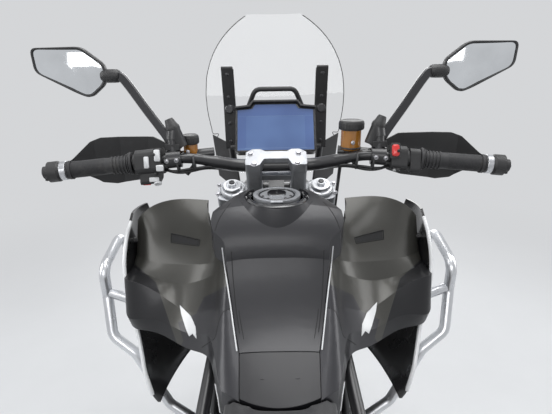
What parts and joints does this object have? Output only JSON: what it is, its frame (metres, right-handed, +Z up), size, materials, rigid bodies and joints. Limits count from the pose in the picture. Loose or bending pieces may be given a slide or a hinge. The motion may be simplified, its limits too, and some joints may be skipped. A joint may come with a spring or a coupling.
{
  "type": "adventure motorcycle",
  "caption": "Large adventure motorcycle on its centre stand, with wire wheels, crash bars, hand guards, windscreen, screen display and a wide side-cowled tank.",
  "frame": {"origin": "on the floor, under the middle of the overall length and width", "axes": "+Y forwards, +X to the rider's right, +Z up"},
  "size_m": [1.0332, 2.2958, 1.511],
  "materials": {
    "amber_pot": "translucent amber",
    "bare_alloy": "brushed",
    "black_plastic": "matt",
    "cast_alloy": "satin",
    "console_black": "satin black",
    "cowl_white": "gloss pale grey",
    "dark_gloss": "gloss",
    "disc_steel": "ground",
    "display_face": "gloss",
    "engine_alloy": "satin dark grey",
    "exhaust_steel": "brushed",
    "fork_gold": "gloss black",
    "frame_paint": "satin black",
    "grip_rubber": "matt",
    "lamp_lens": "clear",
    "mirror_face": "mirror",
    "red_lens": "gloss",
    "screen_clear": "clear",
    "seat_vinyl": "grained vinyl",
    "steel_tube": "satin",
    "tank_paint": "satin dark khaki black",
    "tyre_rubber": "matt"
  },
  "bodies": {
    "chassis": {"frame": "frame_paint", "subframe": "frame_paint", "engine_case": "engine_alloy", "engine_head": "engine_alloy", "radiators": "black_plastic", "skid_plate": "bare_alloy", "exhaust_pipe": "exhaust_steel", "silencer": "exhaust_steel", "fuel_tank": "tank_paint", "tank_cover": "console_black", "tank_panels": "tank_paint", "side_cowls": "cowl_white", "nose_cowl": "tank_paint", "headlamp": "dark_gloss", "windscreen": "screen_clear", "screen_bracket": "black_plastic", "instrument_display": "display_face", "rider_seat": "seat_vinyl", "pillion_seat": "seat_vinyl", "tail_panels": "black_plastic", "rear_rack": "cast_alloy", "rear_mudguard": "black_plastic", "tail_lamp": "red_lens", "turn_signals": "lamp_lens", "crash_bars": "steel_tube", "footrests": "cast_alloy", "foot_levers": "cast_alloy", "swingarm": "cast_alloy", "rear_shock": "frame_paint", "rear_caliper": "engine_alloy"},
    "steering": {"fork_yokes": "bare_alloy", "fork_tubes": "fork_gold", "fork_sliders": "cast_alloy", "front_mudguard": "black_plastic", "front_calipers": "engine_alloy", "handlebar": "frame_paint", "bar_clamp": "bare_alloy", "grips": "grip_rubber", "bar_weights": "black_plastic", "hand_guards": "black_plastic", "hand_levers": "frame_paint", "switch_pods": "black_plastic", "mirrors": "black_plastic", "mirror_glass": "mirror_face", "reservoirs": "amber_pot", "brake_hose": "black_plastic"},
    "front_wheel": {"front_tyre": "tyre_rubber", "front_rim": "frame_paint", "front_hub": "cast_alloy", "front_discs": "disc_steel"},
    "rear_wheel": {"rear_tyre": "tyre_rubber", "rear_rim": "frame_paint", "rear_hub": "cast_alloy", "rear_disc": "disc_steel"},
    "side_stand": {"side_stand": "frame_paint"},
    "centre_stand": {"centre_stand": "frame_paint"},
    "fuel_cap": {"fuel_cap": "cast_alloy"}
  },
  "joints": [
    {"name": "steering_turn", "type": "hinge", "parent": "chassis", "child": "steering", "pos_m": [0, 0.51105, 0.91566], "axis": [0, -0.4019, 0.9157], "range_deg": [-36, 36]},
    {"name": "front_wheel_spin", "type": "hinge", "parent": "steering", "child": "front_wheel", "pos_m": [0, 0.801, 0.347], "axis": [1, 0, 0], "continuous": true},
    {"name": "rear_wheel_spin", "type": "hinge", "parent": "chassis", "child": "rear_wheel", "pos_m": [0, -0.759, 0.357], "axis": [1, 0, 0], "continuous": true},
    {"name": "side_stand_swing", "type": "hinge", "parent": "chassis", "child": "side_stand", "pos_m": [-0.184, -0.072, 0.292], "axis": [0.9397, 0, -0.342], "range_deg": [0, 95]},
    {"name": "centre_stand_swing", "type": "hinge", "parent": "chassis", "child": "centre_stand", "pos_m": [0, -0.214, 0.3], "axis": [1, 0, 0], "range_deg": [-80, 0]},
    {"name": "fuel_cap_lift", "type": "hinge", "parent": "chassis", "child": "fuel_cap", "pos_m": [0, 0.252, 1.147], "axis": [1, 0, 0], "range_deg": [0, 95]}
  ]
}
